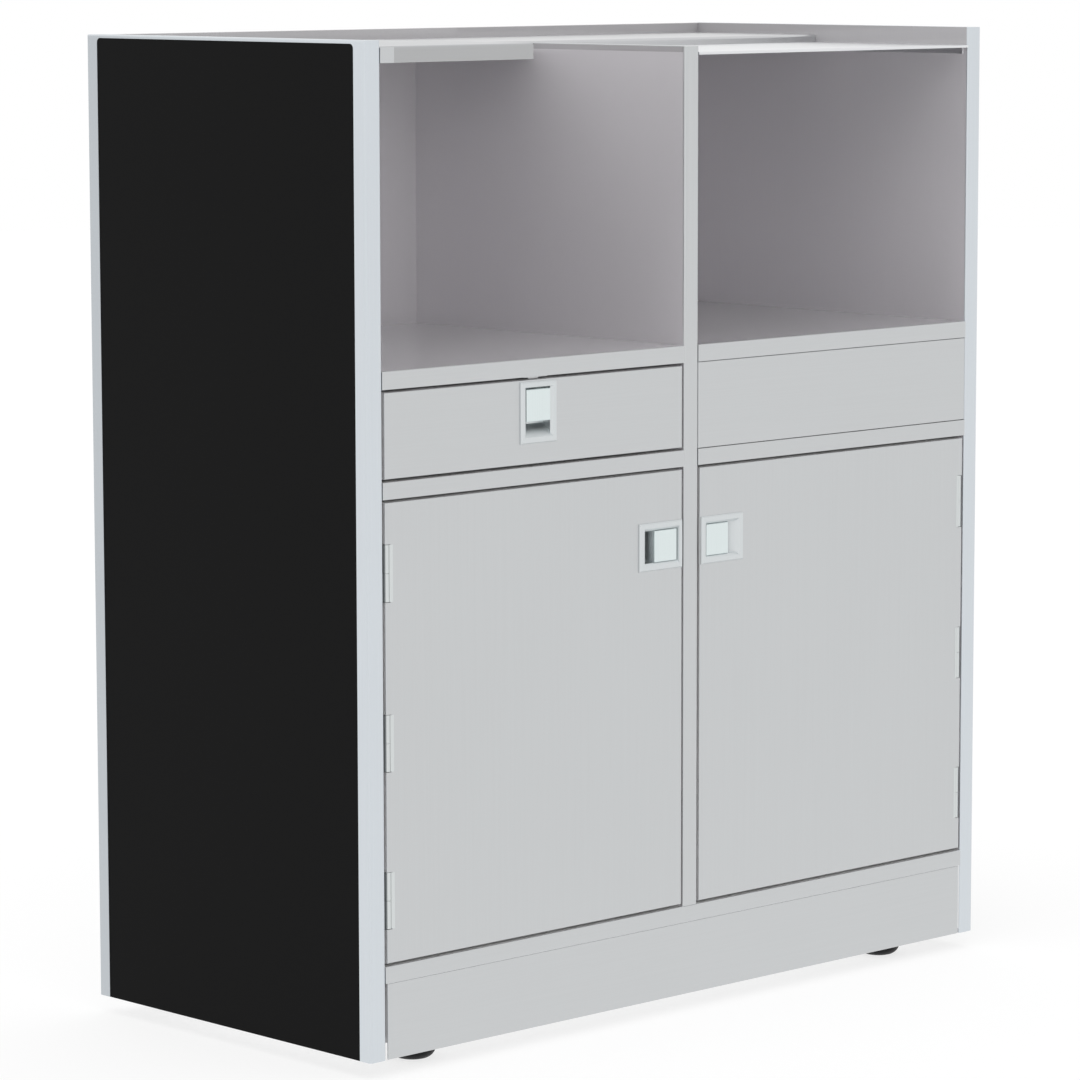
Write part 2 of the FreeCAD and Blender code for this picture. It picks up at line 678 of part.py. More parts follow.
def latch_housing():
    """Bevelled bezel and tub, with the flap's pocket, the scoop and the bolt's guide."""
    bezel = block(
        -LATCH_LENGTH / 2, LATCH_LENGTH / 2, -LATCH_PROUD, 0, -LATCH_WIDTH / 2, LATCH_WIDTH / 2,
    )
    rim = edges_at(bezel, lambda c, d: near(c.y, -LATCH_PROUD))
    bezel = bezel.makeChamfer(LATCH_BEVEL, rim)
    tub = block(
        -LATCH_TUB_LENGTH / 2, LATCH_TUB_LENGTH / 2, 0, LATCH_DEPTH,
        -LATCH_TUB_WIDTH / 2, LATCH_TUB_WIDTH / 2,
    )
    half = FLAP_WIDTH / 2 + FLAP_CLEARANCE
    far = FLAP_END + FLAP_END_GAP
    slope = (SCOOP_END - SCOOP_TOE) / (SCOOP_DEPTH + LATCH_PROUD)
    near_end = SCOOP_END - LATCH_PROUD * slope
    pocket = Part.makePolygon([
        V(far, 0, -half),
        V(far, POCKET_FLOOR, -half),
        V(-SCOOP_HEEL, POCKET_FLOOR, -half),
        V(-SCOOP_HEEL, SCOOP_DEPTH, -half),
        V(-SCOOP_TOE, SCOOP_DEPTH, -half),
        V(-near_end, 0, -half),
        V(far, 0, -half),
    ])
    mouth = Part.makeLoft([
        latch_rectangle(-near_end, far, 0, half),
        latch_rectangle(-SCOOP_END, far + MOUTH_END_FLARE, -LATCH_PROUD, half + MOUTH_FLARE),
    ], True, True)
    opened = Part.Face(pocket).extrude(V(0, 0, 2 * half)).fuse(mouth)
    body = join([bezel, tub]).cut(opened)
    bolt_half = BOLT_WIDTH / 2 + BOLT_CLEARANCE
    guide = block(
        BOLT_START - BOLT_SPRING_ROOM, LATCH_TUB_LENGTH / 2 + OVERCUT,
        BOLT_DEPTH - BOLT_CLEARANCE, BOLT_DEPTH + BOLT_THICKNESS + BOLT_CLEARANCE,
        -bolt_half, bolt_half,
    )
    arm_half = ARM_WIDTH / 2 + FLAP_CLEARANCE
    swing = ARM_REACH * math.sin(math.radians(FLAP_ANGLE))
    arm_slot = block(
        PIN_X - swing - ARM_THICKNESS / 2, PIN_X + ARM_THICKNESS,
        POCKET_FLOOR - OVERCUT, BOLT_DEPTH, -arm_half, arm_half,
    )
    pin_start = V(PIN_X, FLAP_PIN_DEPTH, -LATCH_TUB_WIDTH / 2 - OVERCUT)
    pin_hole = rod(FLAP_PIN_RADIUS, pin_start, LATCH_TUB_WIDTH + 2 * OVERCUT, V(0, 0, 1))
    return body.cut(guide).cut(arm_slot).cut(pin_hole)


def latch_flap():
    """Flap with its pivot barrel and the arm that draws the bolt."""
    half = FLAP_WIDTH / 2
    plate = block(
        FLAP_END - FLAP_LENGTH, FLAP_END, FLAP_FACE, FLAP_FACE + FLAP_THICKNESS, -half, half,
    )
    rim = edges_at(plate, lambda c, d: near(c.y, FLAP_FACE))
    plate = plate.makeChamfer(FLAP_BEVEL, rim)
    barrel = rod(FLAP_BARREL, V(PIN_X, FLAP_PIN_DEPTH, -half), FLAP_WIDTH, V(0, 0, 1))
    arm = block(
        PIN_X - ARM_THICKNESS / 2, PIN_X + ARM_THICKNESS / 2,
        FLAP_PIN_DEPTH, FLAP_PIN_DEPTH + ARM_REACH,
        -ARM_WIDTH / 2, ARM_WIDTH / 2,
    )
    radius = FLAP_PIN_RADIUS + FLAP_PIN_CLEARANCE
    bore = rod(radius, V(PIN_X, FLAP_PIN_DEPTH, -half - OVERCUT), FLAP_WIDTH + 2 * OVERCUT, V(0, 0, 1))
    return join([plate, barrel, arm]).cut(bore)


def latch_pin():
    """Flap pin, fixed in the tub's side walls."""
    start = V(PIN_X, FLAP_PIN_DEPTH, -LATCH_TUB_WIDTH / 2)
    return rod(FLAP_PIN_RADIUS, start, LATCH_TUB_WIDTH, V(0, 0, 1))


def latch_bolt(inset):
    """Bolt with a bevelled nose and a slot for the flap's arm."""
    nose = LATCH_LENGTH / 2 + inset + BOLT_NOSE
    half = BOLT_WIDTH / 2
    body = block(BOLT_START, nose, BOLT_DEPTH, BOLT_DEPTH + BOLT_THICKNESS, -half, half)
    slot = block(
        PIN_X - BOLT_SLOT_BACK, PIN_X + BOLT_SLOT_FRONT,
        BOLT_DEPTH - OVERCUT, BOLT_DEPTH + BOLT_THICKNESS + OVERCUT,
        -ARM_WIDTH / 2 - FLAP_CLEARANCE, ARM_WIDTH / 2 + FLAP_CLEARANCE,
    )
    back = BOLT_DEPTH + BOLT_THICKNESS
    tip = edges_at(body, lambda c, d: near(c.x, nose) and near(c.y, back))
    return body.makeChamfer(BOLT_NOSE, tip).cut(slot)


def latch_spring():
    """Folded leaf spring in the bolt's guide, at rest: a V that points at the bolt."""
    x0 = BOLT_START - BOLT_SPRING_ROOM
    x1 = BOLT_START - BOLT_CLEARANCE
    half = BOLT_WIDTH / 2
    slant = SPRING_SHEET * math.sqrt(2)
    fold = Part.makePolygon([
        V(x0, BOLT_DEPTH, -half),
        V(x1, BOLT_DEPTH, 0),
        V(x0, BOLT_DEPTH, half),
        V(x0, BOLT_DEPTH, half - slant),
        V(x1 - slant, BOLT_DEPTH, 0),
        V(x0, BOLT_DEPTH, slant - half),
        V(x0, BOLT_DEPTH, -half),
    ])
    return Part.Face(fold).extrude(V(0, BOLT_THICKNESS, 0))


def latch_pieces(inset):
    """The five pieces of one latch in its local frame."""
    return {
        "housing": latch_housing(),
        "flap": latch_flap(),
        "pin": latch_pin(),
        "bolt": latch_bolt(inset),
        "spring": latch_spring(),
    }


def strike():
    """Strike plate in the latch's local frame: its face at x = 0, a window for the bolt."""
    middle = BOLT_DEPTH + BOLT_THICKNESS / 2
    plate = block(
        -STRIKE_SHEET, 0, middle - STRIKE_WIDTH / 2, middle + STRIKE_WIDTH / 2,
        -STRIKE_LENGTH / 2, STRIKE_LENGTH / 2,
    )
    half = BOLT_WIDTH / 2 + BOLT_CLEARANCE
    window = block(
        -STRIKE_SHEET - OVERCUT, OVERCUT,
        BOLT_DEPTH - BOLT_CLEARANCE, BOLT_DEPTH + BOLT_THICKNESS + BOLT_CLEARANCE,
        -half, half,
    )
    return plate.cut(window)


def onto_drawer(shape, z):
    """Turn a latch-frame shape so that its bolt points up, in the drawer's middle."""
    turned = shape.copy()
    turned.rotate(V(0, 0, 0), V(0, 1, 0), -90)
    turned.translate(V(BAY_CENTRE, 0, z))
    return turned


def strike_plates():
    """Three strikes: one on each face of the divider, one under the left bay floor."""
    left = strike()
    left.translate(V(DIVIDER_LEFT, 0, LATCH_Z))
    return group([left, to_right(left), onto_drawer(strike(), LIP_BASE)])


# ---------------------------------------------------------------------------
# Drawer
# ---------------------------------------------------------------------------

def drawer_latch_z():
    return DRAWER_TOP - LATCH_DRAWER_INSET - LATCH_LENGTH / 2


def drawer_front():
    """Drawer face with folded edges, cut for its latch."""
    body = pan(DOOR_LEFT, DOOR_RIGHT, 0, DOOR_THICKNESS, DRAWER_BASE, DRAWER_TOP, "+y")
    return body.cut(onto_drawer(latch_cutout(LATCH_DRAWER_INSET), drawer_latch_z()))


def drawer_box():
    """Open-topped drawer tray behind the face, with folded-over rims."""
    x0 = INNER_LEFT + SLIDE_SPACE
    x1 = DIVIDER_LEFT - SLIDE_SPACE
    y0 = DOOR_THICKNESS
    y1 = INNER_BACK - BOX_BACK_GAP
    z0 = DRAWER_BASE + BOX_LIFT
    z1 = z0 + BOX_HEIGHT
    outer = block(x0, x1, y0, y1, z0, z1)
    inner = block(x0 + SHEET, x1 - SHEET, y0 + SHEET, y1 - SHEET, z0 + SHEET, z1 + OVERCUT)
    corners = edges_at(inner, lambda c, d: near(c.z, z0 + SHEET))
    return outer.cut(inner.makeFillet(BOX_CORNER_RADIUS, corners))


def slide_member(x0, x1, half_height, web_side):
    """One slide member along y: a C-section whose web is on the '-x' or '+x' side."""
    y0 = DOOR_THICKNESS + SLIDE_SETBACK
    y1 = INNER_BACK - SLIDE_BACK_GAP
    outer = block(x0, x1, y0, y1, SLIDE_Z - half_height, SLIDE_Z + half_height)
    low, high = SLIDE_Z - half_height + SLIDE_SHEET, SLIDE_Z + half_height - SLIDE_SHEET
    if web_side == "-x":
        hollow = block(x0 + SLIDE_SHEET, x1 + OVERCUT, y0 - OVERCUT, y1 + OVERCUT, low, high)
    else:
        hollow = block(x0 - OVERCUT, x1 - SLIDE_SHEET, y0 - OVERCUT, y1 + OVERCUT, low, high)
    return outer.cut(hollow)


def slide_pair(x_offset, width, nesting, web_side):
    """The same slide member on the left and right of the drawer."""
    x0 = INNER_LEFT + x_offset
    half = SLIDE_HEIGHT / 2 - nesting * (SLIDE_SHEET + SLIDE_PLAY)
    left = slide_member(x0, x0 + width, half, web_side)
    return group([left, mirrored(left, BAY_CENTRE)])


def slide_outer_members():
    return slide_pair(0, SLIDE_FLANGE + SLIDE_SHEET, 0, "-x")


def slide_middle_members():
    return slide_pair(SLIDE_SHEET + SLIDE_WEB_GAP, SLIDE_FLANGE, 1, "-x")


def slide_inner_members():
    return slide_pair(SLIDE_SPACE - SLIDE_FLANGE, SLIDE_FLANGE, 2, "+x")


# ---------------------------------------------------------------------------
# Shelves
# ---------------------------------------------------------------------------

def left_shelf():
    """Cabinet shelf, a tray turned down all round."""
    top = CARCASS_BASE + SHELF_HEIGHT
    return pan(
        INNER_LEFT + SHELF_CLEARANCE, DIVIDER_LEFT - SHELF_CLEARANCE,
        SHELF_FRONT, INNER_BACK - SHELF_CLEARANCE,
        top - SHELF_FLANGE, top, "-z",
    )


def shelf_clips():
    """Angle clips under the shelves' corners."""
    top = CARCASS_BASE + SHELF_HEIGHT - SHELF_FLANGE
    clips = []
    front = SHELF_FRONT + CLIP_INSET
    rear = INNER_BACK - SHELF_CLEARANCE - CLIP_INSET - CLIP_WIDTH
    for y in (front, rear):
        seat = block(INNER_LEFT, INNER_LEFT + CLIP_SIZE, y, y + CLIP_WIDTH, top - CLIP_SHEET, top)
        leg = block(INNER_LEFT, INNER_LEFT + CLIP_SHEET, y, y + CLIP_WIDTH, top - CLIP_HEIGHT, top)
        clip = join([seat, leg])
        inner = mirrored(clip, BAY_CENTRE)
        clips.extend([clip, inner, to_right(clip), to_right(inner)])
    return group(clips)


# ---------------------------------------------------------------------------
# Build
# ---------------------------------------------------------------------------

def build():
    os.makedirs("parts", exist_ok=True)

    save("left_side_frame", side_frame())
    save("right_side_frame", to_right(side_frame()))
    save("left_side_board", side_board())
    save("right_side_board", to_right(side_board()))
    save("rear_liner", rear_liner())
    save("back_panel", back_panel())
    save("divider", divider())
    save("left_bay_floor", bay_floor(INNER_LEFT, DIVIDER_LEFT).cut(drawer_bolt_slot()))
    save("right_bay_floor", bay_floor(DIVIDER_RIGHT, INNER_RIGHT))
    save("left_mid_rail", mid_rail(INNER_LEFT, DIVIDER_LEFT))
    save("right_mid_rail", mid_rail(DIVIDER_RIGHT, INNER_RIGHT))
    save("blank_panel", blank_panel())
    save("cabinet_floor", cabinet_floor())

    save("kick_plate", kick_plate())
    save("kick_brackets", kick_brackets())
    save("front_base_channel", base_channel(FOOT_END_INSET, "-y"))
    save("rear_base_channel", base_channel(DEPTH - FOOT_END_INSET, "+y"))
    save("foot_nuts", foot_nuts())
    for name, x, y in foot_centres():
        save(name + "_foot", foot(x, y))

    save("rear_deck", rear_deck())
    save("front_deck", front_deck())
    save("left_ledge", left_ledge())
    save("ledge_bracket", ledge_bracket())

    save("left_door_skin", left_door_skin())
    save("right_door_skin", to_right(left_door_skin()))
    save("left_door_inner", left_door_inner())
    save("right_door_inner", to_right(left_door_inner()))
    save("door_stops", door_stops())
    save("hinge_frame_leaves", hinge_frame_leaves())
    save("hinge_pins", hinge_pins())
    save("left_hinge_door_leaves", left_hinge_door_leaves())
    save("right_hinge_door_leaves", to_right(left_hinge_door_leaves()))

    for piece, shape in latch_pieces(LATCH_DOOR_INSET).items():
        shape.translate(V(door_latch_x(), 0, LATCH_Z))
        save("left_latch_" + piece, shape)
        save("right_latch_" + piece, to_right(shape))
    for piece, shape in latch_pieces(LATCH_DRAWER_INSET).items():
        save("drawer_latch_" + piece, onto_drawer(shape, drawer_latch_z()))
    save("strike_plates", strike_plates())

    save("drawer_front", drawer_front())
    save("drawer_box", drawer_box())
    save("slide_outer_members", slide_outer_members())
    save("slide_middle_members", slide_middle_members())
    save("slide_inner_members", slide_inner_members())

    save("left_shelf", left_shelf())
    save("right_shelf", to_right(left_shelf()))
    save("shelf_clips", shelf_clips())


build()
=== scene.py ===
"""Looks of the waiter service station: camera, light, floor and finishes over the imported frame."""
import math
from collections import namedtuple

import bmesh
import bpy
from mathutils import Matrix, Vector


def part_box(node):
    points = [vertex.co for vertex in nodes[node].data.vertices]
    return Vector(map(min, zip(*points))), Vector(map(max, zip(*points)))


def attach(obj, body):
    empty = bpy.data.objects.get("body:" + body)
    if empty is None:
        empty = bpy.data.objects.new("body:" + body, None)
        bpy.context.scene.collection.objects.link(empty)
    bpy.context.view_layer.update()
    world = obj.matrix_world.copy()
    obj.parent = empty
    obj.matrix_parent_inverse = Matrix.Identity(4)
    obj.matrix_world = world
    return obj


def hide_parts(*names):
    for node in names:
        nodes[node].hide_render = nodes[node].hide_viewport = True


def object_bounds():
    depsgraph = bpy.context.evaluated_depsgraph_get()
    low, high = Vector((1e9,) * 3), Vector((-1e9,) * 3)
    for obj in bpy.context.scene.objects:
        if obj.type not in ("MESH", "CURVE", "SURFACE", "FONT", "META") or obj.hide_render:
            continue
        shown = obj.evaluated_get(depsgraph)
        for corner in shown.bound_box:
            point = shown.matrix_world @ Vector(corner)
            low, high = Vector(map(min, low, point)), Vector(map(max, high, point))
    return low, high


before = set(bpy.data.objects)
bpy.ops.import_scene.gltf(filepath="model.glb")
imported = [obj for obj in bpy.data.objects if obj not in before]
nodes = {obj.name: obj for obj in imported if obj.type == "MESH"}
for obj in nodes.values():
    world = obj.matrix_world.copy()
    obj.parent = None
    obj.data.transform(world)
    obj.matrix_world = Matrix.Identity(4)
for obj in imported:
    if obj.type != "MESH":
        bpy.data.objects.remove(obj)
cad_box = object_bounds()

# ---------------------------------------------------------------- camera
EYE = Vector((-3.66073, -3.8158, 1.19132))
YAW, PITCH, ROLL = (math.radians(a) for a in (43.69833, 7.35396, -0.10406))
FOCAL_LENGTH = 155.992
SENSOR = 36.0
CLIP_NEAR, CLIP_FAR = 0.05, 60.0


def make_camera():
    forward = Vector(
        (math.sin(YAW) * math.cos(PITCH), math.cos(YAW) * math.cos(PITCH), -math.sin(PITCH))
    )
    level = Vector((math.cos(YAW), -math.sin(YAW), 0.0))
    upright = level.cross(forward)
    right = math.cos(ROLL) * level + math.sin(ROLL) * upright
    up = -math.sin(ROLL) * level + math.cos(ROLL) * upright
    data = bpy.data.cameras.new("camera")
    data.sensor_width = SENSOR
    data.lens = FOCAL_LENGTH
    data.clip_start = CLIP_NEAR
    data.clip_end = CLIP_FAR
    camera = bpy.data.objects.new("camera", data)
    turn = Matrix((right, up, -forward)).transposed().to_4x4()
    camera.matrix_world = Matrix.Translation(EYE) @ turn
    bpy.context.scene.collection.objects.link(camera)
    bpy.context.scene.camera = camera


# ---------------------------------------------------------------- node-tree helpers
NOISE_LOW, NOISE_HIGH = 0.3, 0.7
BEVEL_SAMPLES = 4
FLAT_DOT, EDGE_DOT = 0.995, 0.80


class Tree:
    """A short way to write one material's or world's node tree."""

    def __init__(self, owner):
        owner.use_nodes = True
        self.tree = owner.node_tree
        self.tree.nodes.clear()

    def add(self, kind, inputs=None, **settings):
        node = self.tree.nodes.new(kind)
        for name, value in settings.items():
            setattr(node, name, value)
        for name, value in (inputs or {}).items():
            if isinstance(value, bpy.types.NodeSocket):
                self.tree.links.new(value, node.inputs[name])
            else:
                node.inputs[name].default_value = value
        return node

    def place(self):
        """The point on the object, in metres in the row frame."""
        return self.add("ShaderNodeTexCoord").outputs["Object"]

    def along(self, axis):
        return self.add("ShaderNodeSeparateXYZ", {0: self.place()}).outputs[axis]

    def off_centre(self):
        """The distance from the part's middle plane."""
        return self.maths("ABSOLUTE", self.along("X"), 0.0)

    def stretched(self, scale):
        inputs = {"Vector": self.place(), "Scale": scale}
        return self.add("ShaderNodeMapping", inputs).outputs["Vector"]

    def noise(self, vector, scale=1.0, detail=2.0, roughness=0.5):
        inputs = {"Vector": vector, "Scale": scale, "Detail": detail, "Roughness": roughness}
        return self.add("ShaderNodeTexNoise", inputs).outputs["Fac"]

    def ramp(self, value, low, high, out_low=0.0, out_high=1.0):
        inputs = {
            "Value": value,
            "From Min": low,
            "From Max": high,
            "To Min": out_low,
            "To Max": out_high,
        }
        return self.add("ShaderNodeMapRange", inputs).outputs["Result"]

    def spread(self, noise, out_low, out_high):
        """The middle range of a noise, spread between two values."""
        return self.ramp(noise, NOISE_LOW, NOISE_HIGH, out_low, out_high)

    def between(self, factor, at_zero, at_one):
        """The first value where the factor is 0, the second where it is 1."""
        return self.ramp(factor, 0.0, 1.0, at_zero, at_one)

    def maths(self, operation, first, second):
        return self.add("ShaderNodeMath", {0: first, 1: second}, operation=operation).outputs[0]

    def mix(self, factor, first, second):
        node = self.add("ShaderNodeMix", {0: factor, 6: first, 7: second}, data_type="RGBA")
        return node.outputs[2]

    def scaled(self, colour, level):
        inputs = {0: colour, "Scale": level}
        return self.add("ShaderNodeVectorMath", inputs, operation="SCALE").outputs[0]

    def edges(self, radius):
        """About 1 along sharp edges and 0 on flats."""
        bevel = self.add("ShaderNodeBevel", {"Radius": radius}, samples=BEVEL_SAMPLES)
        rounded = bevel.outputs["Normal"]
        flat = self.add("ShaderNodeNewGeometry").outputs["True Normal"]
        dot = self.add("ShaderNodeVectorMath", {0: rounded, 1: flat}, operation="DOT_PRODUCT")
        return self.ramp(dot.outputs["Value"], FLAT_DOT, EDGE_DOT)

    def bump(self, height, strength, distance):
        inputs = {"Height": height, "Strength": strength, "Distance": distance}
        return self.add("ShaderNodeBump", inputs).outputs["Normal"]

    def finish(self, shader):
        self.add("ShaderNodeOutputMaterial", {"Surface": shader})


def grey(value):
    return (value, value, value, 1.0)


def opaque(colour):
    return (*colour, 1.0)


# ---------------------------------------------------------------- finishes
GRAIN_SCALE = {"x": (6.0, 900.0, 900.0), "z": (900.0, 900.0, 6.0)}
GRAIN_SHADE = 0.012
GRAIN_BUMP, GRAIN_DEPTH = 0.12, 0.00001
SMEAR_SCALE = 5.0
STEEL_EDGE = 0.0009
POLISH_IOR = 1.9
POLISH_ROUGHNESS = 0.045
SPANGLE_SCALE = 90.0
ZINC_CLOUD_SCALE = 25.0
PEBBLE_SCALE = 1400.0
LAMINATE_CLOUD_SCALE = 4.0
LAMINATE_EDGE = 0.0008
SPECKLE_SCALE = 700.0

Steel = namedtuple("Steel", "colour roughness polish tone", defaults=(None,))


def shaded(t, finish):
    """The colour of a finish, times its painted light and shade where it has one."""
    if finish.tone:
        return t.scaled(finish.colour, finish.tone(t))
    return opaque(finish.colour)


def steel(name, face, grain="z", inner=None, mask=None, edge_highlight=1.05, shade=GRAIN_SHADE):
    """Sheet metal with a linear grain, faint smears and a painted highlight along sharp edges.

    Where the mask is 1 it has the inner finish instead of the face's."""
    material = bpy.data.materials.new(name)
    t = Tree(material)
    lines = t.noise(t.stretched(GRAIN_SCALE[grain]), detail=3.0, roughness=0.6)
    smear = t.noise(t.place(), scale=SMEAR_SCALE, detail=4.0)
    streak = t.spread(lines, 1.0 - shade, 1.0 + shade)
    level = t.maths("MULTIPLY", streak, t.spread(smear, 0.992, 1.008))
    level = t.maths("MULTIPLY", level, t.between(t.edges(STEEL_EDGE), 1.0, edge_highlight))
    roughness, polish = face.roughness, face.polish
    colour = shaded(t, face) if inner or face.tone else face.colour
    if inner:
        where = mask(t)
        colour = t.mix(where, colour, shaded(t, inner))
        roughness = t.between(where, face.roughness, inner.roughness)
        polish = t.between(where, face.polish, inner.polish)
    vary = t.maths("ADD", t.spread(smear, 0.92, 1.05), t.spread(lines, -0.03, 0.03))
    inputs = {
        "Base Color": t.scaled(colour, level),
        "Metallic": 1.0,
        "Roughness": t.maths("MULTIPLY", roughness, vary),
        "Normal": t.bump(lines, GRAIN_BUMP, GRAIN_DEPTH),
    }
    if inner or polish:
        inputs["Coat Weight"] = polish
        inputs["Coat IOR"] = POLISH_IOR
        inputs["Coat Roughness"] = POLISH_ROUGHNESS
    t.finish(t.add("ShaderNodeBsdfPrincipled", inputs).outputs[0])
    return material


def galvanised(name, colour, roughness):
    """Zinc coating with a soft spangle."""
    material = bpy.data.materials.new(name)
    t = Tree(material)
    cells = t.add("ShaderNodeTexVoronoi", {"Vector": t.place(), "Scale": SPANGLE_SCALE})
    spangle = t.add("ShaderNodeSeparateColor", {"Color": cells.outputs["Color"]}).outputs[0]
    cloud = t.noise(t.place(), scale=ZINC_CLOUD_SCALE, detail=3.0)
    level = t.maths("ADD", t.between(spangle, 0.88, 1.06), t.spread(cloud, -0.04, 0.04))
    shader = t.add(
        "ShaderNodeBsdfPrincipled",
        {
            "Base Color": t.scaled(colour, level),
            "Metallic": 1.0,
            "Roughness": t.between(spangle, roughness * 0.85, roughness * 1.15),
            "Normal": t.bump(cloud, 0.2, 0.0002),
        },
    )
    t.finish(shader.outputs[0])
    return material


def laminate(name, colour):
    """Matte black laminate with a fine pebble and a slightly paler cut edge."""
    material = bpy.data.materials.new(name)
    t = Tree(material)
    pebble = t.noise(t.place(), scale=PEBBLE_SCALE, detail=2.0)
    cloud = t.noise(t.place(), scale=LAMINATE_CLOUD_SCALE, detail=5.0)
    level = t.maths("MULTIPLY", t.spread(pebble, 0.9, 1.1), t.spread(cloud, 0.93, 1.07))
    level = t.maths("MULTIPLY", level, t.between(t.edges(LAMINATE_EDGE), 1.0, 1.8))
    shader = t.add(
        "ShaderNodeBsdfPrincipled",
        {
            "Base Color": t.scaled(colour, level),
            "Roughness": t.spread(cloud, 0.5, 0.6),
            "Specular IOR Level": 0.04,
            "Normal": t.bump(pebble, 0.3, 0.0001),
        },
    )
    t.finish(shader.outputs[0])
    return material


def coated(name, colour):
    """Black powder coat with a fine speckle."""
    material = bpy.data.materials.new(name)
    t = Tree(material)
    speckle = t.noise(t.place(), scale=SPECKLE_SCALE, detail=2.0)
    shader = t.add(
        "ShaderNodeBsdfPrincipled",
        {
            "Base Color": t.scaled(colour, t.spread(speckle, 0.8, 1.2)),
            "Roughness": t.spread(speckle, 0.45, 0.6),
            "Specular IOR Level": 0.2,
            "Normal": t.bump(speckle, 0.3, 0.0002),
        },
    )
    t.finish(shader.outputs[0])
    return material


# Masks, and the painted light and shade, follow the part: the fronts' plane, then distances from it and
# from its faces.
LATCH_PROUD = 0.0025
FRONT_Y = cad_box[0][1] + LATCH_PROUD
REAR_Y = cad_box[1][1]
OUTER_X = cad_box[1][0]
FRAME_ROUNDING = 0.0025
SHEET_ROUNDING = 0.0015
RECESS_X = 0.4516
INNER_X = abs(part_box("left_side_frame")[1][0])
DIVIDER_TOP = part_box("divider")[1][2]
LEDGE_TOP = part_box("left_ledge")[1][2]
FRONT_DECK_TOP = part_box("front_deck")[1][2]
INNER_MARGIN = 0.0002
OUTER_MARGIN = 0.0006
DIVIDER_TOP_MARGIN = 0.0005
LEDGE_ROLL = 0.0012
DECK_MARGIN = 0.0001
# Levels of painted light and shade: the bays' first, then the posts' outer sides.
SHEET_PAINTED_LIGHT = (0.96, 0.98)
INNER_POST_PAINTED_LIGHT = (1.03, 1.06)
OVER_DECK_PAINTED_SHADE = 0.72
OUTER_REAR_SHADE = 0.80
OUTER_SHADE_INSET = 0.03


def behind(t, reach):
    """1 behind the front plane and its rounded edge."""
    return t.maths("GREATER_THAN", t.along("Y"), FRONT_Y + reach)


def divider_faces(t):
    """1 on the divider's sides, 0 on its front and top edges."""
    below_top = t.maths("LESS_THAN", t.along("Z"), DIVIDER_TOP - DIVIDER_TOP_MARGIN)
    return t.maths("MULTIPLY", behind(t, FRAME_ROUNDING), below_top)


def frame_inner_faces(t):
    """1 on the sides of the frames that face into the bays."""
    inward = t.maths("LESS_THAN", t.off_centre(), INNER_X + INNER_MARGIN)
    return t.maths("MULTIPLY", behind(t, FRAME_ROUNDING), inward)


def folded_edges(t):
    """1 behind the front faces of the folded sheets."""
    return behind(t, SHEET_ROUNDING)


def below_roll(t):
    """1 on the ledge's upright faces, 0 on its top; the upright faces get the darker painted shade."""
    return t.maths("LESS_THAN", t.along("Z"), LEDGE_TOP - LEDGE_ROLL)


def painted_hinge_shade(t):
    """1 on the outer side of every hinge barrel, next to the post, and on the leaves behind it: painted
    shade.
    """
    return t.maths("GREATER_THAN", t.off_centre(), RECESS_X)


def bay_painted_light(t):
    """Painted light and shade on the bay sheets, the same on left and right.

    It rises a little to the rear, is highest on the frames' inner faces and lowest over the decks."""
    sheet = t.ramp(t.along("Y"), FRONT_Y, REAR_Y, *SHEET_PAINTED_LIGHT)
    post = t.ramp(t.along("Y"), FRONT_Y, REAR_Y, *INNER_POST_PAINTED_LIGHT)
    on_frame = t.maths("GREATER_THAN", t.off_centre(), INNER_X - INNER_MARGIN)
    above = t.maths("GREATER_THAN", t.along("Z"), FRONT_DECK_TOP + DECK_MARGIN)
    return t.between(above, t.between(on_frame, sheet, post), OVER_DECK_PAINTED_SHADE)


def outer_side_painted_shade(t):
    """Painted shade on the posts' outer sides, darker towards the rear on left and right."""
    outer = t.maths("GREATER_THAN", t.off_centre(), OUTER_X - OUTER_MARGIN)
    front, rear = FRONT_Y + OUTER_SHADE_INSET, REAR_Y - OUTER_SHADE_INSET
    to_rear = t.ramp(t.along("Y"), front, rear, 1.0, OUTER_REAR_SHADE)
    return t.between(outer, 1.0, to_rear)


FRONT = Steel((0.588, 0.602, 0.61), 0.34, 0.0)
# The posts' outer sides carry painted shade, darker towards the rear.
POST = Steel((0.66, 0.70, 0.735), 0.34, 0.0, outer_side_painted_shade)
# The bay sheets carry painted light and shade.
BAY = Steel((0.80, 0.785, 0.805), 0.82, 1.0, bay_painted_light)
# Painted light: a paler copy of the front steel for the folded returns seen in the gaps.
FOLD_PAINTED_LIGHT = Steel((0.80, 0.80, 0.80), 0.75, 0.0)
DECK = Steel((0.595, 0.60, 0.61), 0.30, 0.0)
# Painted shade: the ledge's top and its darker upright faces are shaded copies of the front steel.
LEDGE_TOP_SHADE = Steel((0.495, 0.505, 0.515), 0.30, 0.0)
LEDGE_FRONT_SHADE = Steel((0.455, 0.46, 0.465), 0.30, 0.0)
# Painted light: the front deck is a lighter copy of the front steel.
FRONT_DECK_PAINTED_LIGHT = Steel((0.775, 0.785, 0.80), 0.30, 0.0)
LATCH_FLAP = Steel((0.74, 0.81, 0.81), 0.36, 0.0)
LATCH_BODY = Steel((0.67, 0.70, 0.71), 0.40, 0.0)
HINGE = Steel((0.66, 0.69, 0.69), 0.34, 0.0)
# Painted shade: a dark copy of the hinge steel for the barrels' sides next to the posts.
HINGE_PAINTED_SHADE = Steel((0.24, 0.255, 0.26), 0.55, 0.0)
# Painted light: a pale sheet seen through the kick plate's gaps.
FILLER_PAINTED_LIGHT = Steel((0.80, 0.81, 0.82), 0.60, 0.0)
BRIGHT = Steel((0.62, 0.62, 0.63), 0.18, 0.0)
ZINC = (0.55, 0.56, 0.57)
ZINC_ROUGHNESS = 0.42
BLACK = (0.0095, 0.0095, 0.0097)
COAT_BLACK = (0.010, 0.010, 0.011)

